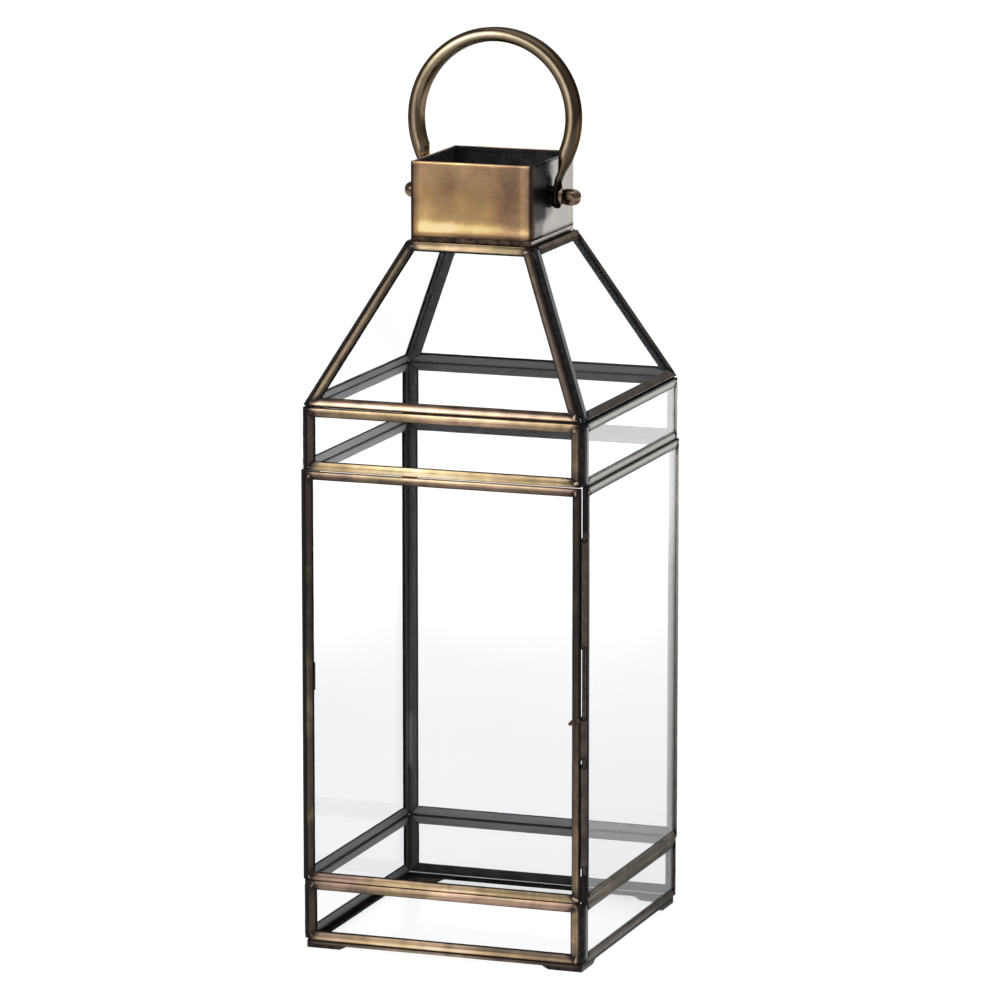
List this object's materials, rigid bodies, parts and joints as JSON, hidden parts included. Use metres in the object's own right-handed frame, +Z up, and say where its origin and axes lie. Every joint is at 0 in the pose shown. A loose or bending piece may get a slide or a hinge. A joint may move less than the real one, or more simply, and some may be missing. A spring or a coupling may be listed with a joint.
{
  "type": "glass lantern cloche",
  "caption": "Tall square glass case edged in antique brass channel, with a hinged front door, a pyramid glass roof, an open chimney collar and a swinging ring handle.",
  "frame": {"origin": "middle of the footprint, on the surface that the corner feet stand on", "axes": "+Z up; the door faces -Y; the door's hinge is at the +X end of the front; the handle's pivots lie along X"},
  "size_m": [0.1727, 0.173, 0.5244],
  "materials": {
    "channel_brass": "antiqued brass channel, brown patina in the folds, brighter along the crown",
    "collar_brass": "antiqued brass sheet, mottled bronze and gold",
    "handle_brass": "antiqued brass bar, polished with dark patina",
    "dark_brass": "darkened brass",
    "solder": "patinated solder",
    "clear_glass": "clear float glass"
  },
  "bodies": {
    "case": {"floor_glass": "clear_glass", "floor_channel": "channel_brass", "corner_feet": "dark_brass", "base_glass_front": "clear_glass", "base_glass_right": "clear_glass", "base_glass_back": "clear_glass", "base_glass_left": "clear_glass", "base_channel_front": "channel_brass", "base_channel_right": "channel_brass", "base_channel_back": "channel_brass", "base_channel_left": "channel_brass", "side_glass_right": "clear_glass", "side_glass_back": "clear_glass", "side_glass_left": "clear_glass", "side_channel_right": "channel_brass", "side_channel_back": "channel_brass", "side_channel_left": "channel_brass", "band_glass_front": "clear_glass", "band_glass_right": "clear_glass", "band_glass_back": "clear_glass", "band_glass_left": "clear_glass", "band_channel_front": "channel_brass", "band_channel_right": "channel_brass", "band_channel_back": "channel_brass", "band_channel_left": "channel_brass", "roof_glass_front": "clear_glass", "roof_glass_right": "clear_glass", "roof_glass_back": "clear_glass", "roof_glass_left": "clear_glass", "roof_channel_front": "channel_brass", "roof_channel_right": "channel_brass", "roof_channel_back": "channel_brass", "roof_channel_left": "channel_brass", "corner_solder": "solder", "hip_solder": "solder", "roof_seat": "dark_brass", "chimney_collar": "collar_brass", "hinge_tube_upper": "channel_brass", "hinge_tube_lower": "channel_brass", "hinge_pin": "dark_brass", "door_catch": "dark_brass"},
    "door": {"door_glass": "clear_glass", "door_channel": "channel_brass", "door_knuckle": "channel_brass", "hinge_strap": "dark_brass"},
    "handle": {"handle_ring": "handle_brass", "handle_knob_left": "dark_brass", "handle_knob_right": "dark_brass", "pivot_washer_left": "dark_brass", "pivot_washer_right": "dark_brass", "pivot_nut_left": "dark_brass", "pivot_nut_right": "dark_brass"}
  },
  "joints": [
    {"name": "door_hinge", "type": "hinge", "parent": "case", "child": "door", "pos_m": [0.085, -0.085, 0.16], "axis": [0, 0, 1], "range_deg": [0, 120]},
    {"name": "handle_swing", "type": "hinge", "parent": "case", "child": "handle", "pos_m": [0, 0, 0.4299], "axis": [1, 0, 0], "range_deg": [-113, 123]}
  ]
}
